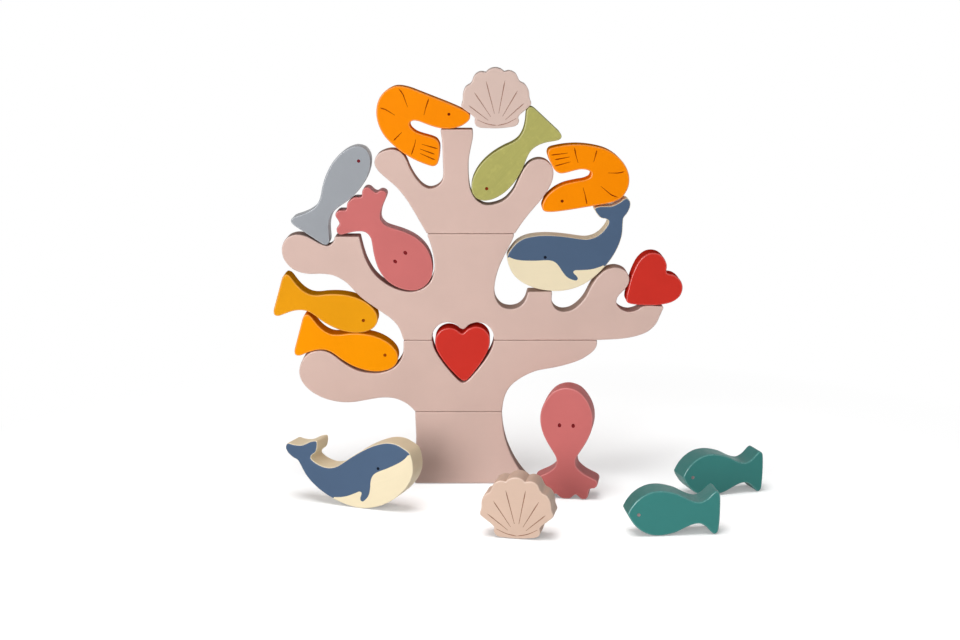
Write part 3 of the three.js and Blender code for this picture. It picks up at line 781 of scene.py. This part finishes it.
cream = finishOf(tone(241, 226, 192), rough=0.52, gloss=0.2, flankGloss=0.26, flankTone=0.9, grain=0.12,
                 mottle=0.08, wear=0.2, wearHighlightTone=1.04, grainTone=0.9)
slateBlue = finishOf(tone(72, 94, 122), rough=0.5, gloss=0.2, grain=0.06, mottle=0.06, wear=0, wearHighlightTone=1.1)
whaleLook = {
    "parts": [{"name": "Cream", "finish": cream}, {"name": "Blue", "finish": slateBlue}],
    "eye": tone(18, 24, 38),
}
makeKind("whale", whale, whales, [whaleLook] * 2, splitPrint)

# Stage, light and camera

stage = {
    "size": 8, "level": -0.0002, "worldStrength": 0.16,
    "seenTone": 0.9, "bounceTone": 0.4,  # the floor as the camera and as the blocks see it
    "middle": (0.04, -0.06), "reach": (0.21, 0.48), "whiteNear": 0.25, "whiteFar": 1.0,  # fades to white
}


def seenDirectly(tree):
    path = node(tree, "ShaderNodeLightPath")
    glossy = node(tree, "ShaderNodeMath", operation="MAXIMUM")
    tree.links.new(path.outputs["Is Camera Ray"], glossy.inputs[0])
    tree.links.new(path.outputs["Is Glossy Ray"], glossy.inputs[1])
    clear = node(tree, "ShaderNodeMath", operation="MAXIMUM")
    tree.links.new(glossy.outputs[0], clear.inputs[0])
    tree.links.new(path.outputs["Is Transmission Ray"], clear.inputs[1])
    return clear.outputs[0]


def floorMaterial():
    material = bpy.data.materials.new("paleFloor")
    material.use_nodes = True
    tree = material.node_tree
    tree.nodes.remove(tree.nodes["Principled BSDF"])
    place = node(tree, "ShaderNodeTexCoord").outputs["Object"]
    shift = node(tree, "ShaderNodeMapping")
    shift.inputs["Location"].default_value = (-stage["middle"][0], -stage["middle"][1], 0)
    tree.links.new(place, shift.inputs["Vector"])
    length = node(tree, "ShaderNodeVectorMath", operation="LENGTH")
    tree.links.new(shift.outputs[0], length.inputs[0])
    share = ranged(tree, length.outputs["Value"], stage["reach"], stage["whiteNear"], stage["whiteFar"])
    seen = seenDirectly(tree)
    factor = node(tree, "ShaderNodeMath", operation="MULTIPLY")
    tree.links.new(seen, factor.inputs[0])
    tree.links.new(share, factor.inputs[1])
    pale = node(tree, "ShaderNodeBsdfDiffuse")
    tones = [(stage[key],) * 3 + (1,) for key in ("bounceTone", "seenTone")]
    tree.links.new(mixed(tree, seen, *tones), pale.inputs["Color"])
    white = node(tree, "ShaderNodeEmission")
    mix = node(tree, "ShaderNodeMixShader")
    tree.links.new(factor.outputs[0], mix.inputs[0])
    tree.links.new(pale.outputs[0], mix.inputs[1])
    tree.links.new(white.outputs[0], mix.inputs[2])
    tree.links.new(mix.outputs[0], tree.nodes["Material Output"].inputs["Surface"])
    return material


bpy.ops.object.select_all(action="DESELECT")
bpy.ops.mesh.primitive_plane_add(size=stage["size"], location=(0, 0, stage["level"]))
floor = bpy.context.object
floor.name = "paleFloor"
floor.data.materials.append(floorMaterial())

lamps = {
    "key": {"at": (-0.62, -1.3, 0.44), "to": (0.0, 0.0, 0.16), "size": 0.8, "watts": 14.8},
    "fill": {"at": (1.0, -1.3, 0.5), "to": (0.0, 0.0, 0.12), "size": 1.0, "watts": 3},
    "back": {"at": (0.4, 1.6, 0.2), "to": (0.0, 0.0, 0.16), "size": 0.8, "watts": 10},
    "floor": {"at": (-0.12, -0.24, 1.2), "to": (0.0, -0.1, 0.0), "size": 0.8, "watts": 17},
    "top": {"at": (-0.12, -0.06, 0.9), "to": (0.04, -0.07, 0.0), "size": 0.5, "watts": 2.3},
}
receivers = {  # these lamps light only what is named
    "floor": ["paleFloor"],
    "top": ["standingWhale", "standingOctopus", "frontShell", "frontTealFish", "backTealFish"],
}
for name, values in lamps.items():
    bpy.ops.object.light_add(type="AREA", location=values["at"])
    lamp = bpy.context.object
    lamp.name = name + "Lamp"
    lamp.data.size = values["size"]
    lamp.data.energy = values["watts"]
    lamp.visible_camera = False
    lamp.visible_glossy = name == "key"
    lamp.rotation_euler = (Vector(values["to"]) - Vector(values["at"])).to_track_quat("-Z", "Y").to_euler()
    if name in receivers:
        lit = bpy.data.collections.new(name + "Lit")
        for receiver in receivers[name]:
            lit.objects.link(bpy.data.objects[receiver])
        lamp.light_linking.receiver_collection = lit

world = bpy.data.worlds.new("studio")
bpy.context.scene.world = world
world.use_nodes = True
tree = world.node_tree
light = tree.nodes["Background"]
light.inputs["Color"].default_value = (1, 1, 1, 1)
light.inputs["Strength"].default_value = stage["worldStrength"]
white = node(tree, "ShaderNodeBackground")
white.inputs["Color"].default_value = (1, 1, 1, 1)
mix = node(tree, "ShaderNodeMixShader")
tree.links.new(seenDirectly(tree), mix.inputs[0])
tree.links.new(light.outputs[0], mix.inputs[1])
tree.links.new(white.outputs[0], mix.inputs[2])
tree.links.new(mix.outputs[0], tree.nodes["World Output"].inputs["Surface"])

cameraSetup = {"at": (0.0051, -1.094, 0.3378), "pitch": 78.76, "lens": 57.8, "sensor": 36}
bpy.ops.object.camera_add(location=cameraSetup["at"], rotation=(math.radians(cameraSetup["pitch"]), 0, 0))
camera = bpy.context.object
camera.data.lens = cameraSetup["lens"]
camera.data.sensor_width = cameraSetup["sensor"]
camera.data.sensor_fit = "HORIZONTAL"
bpy.context.scene.camera = camera
bpy.context.scene.view_settings.view_transform = "Standard"
print("stage: floor, light and camera")
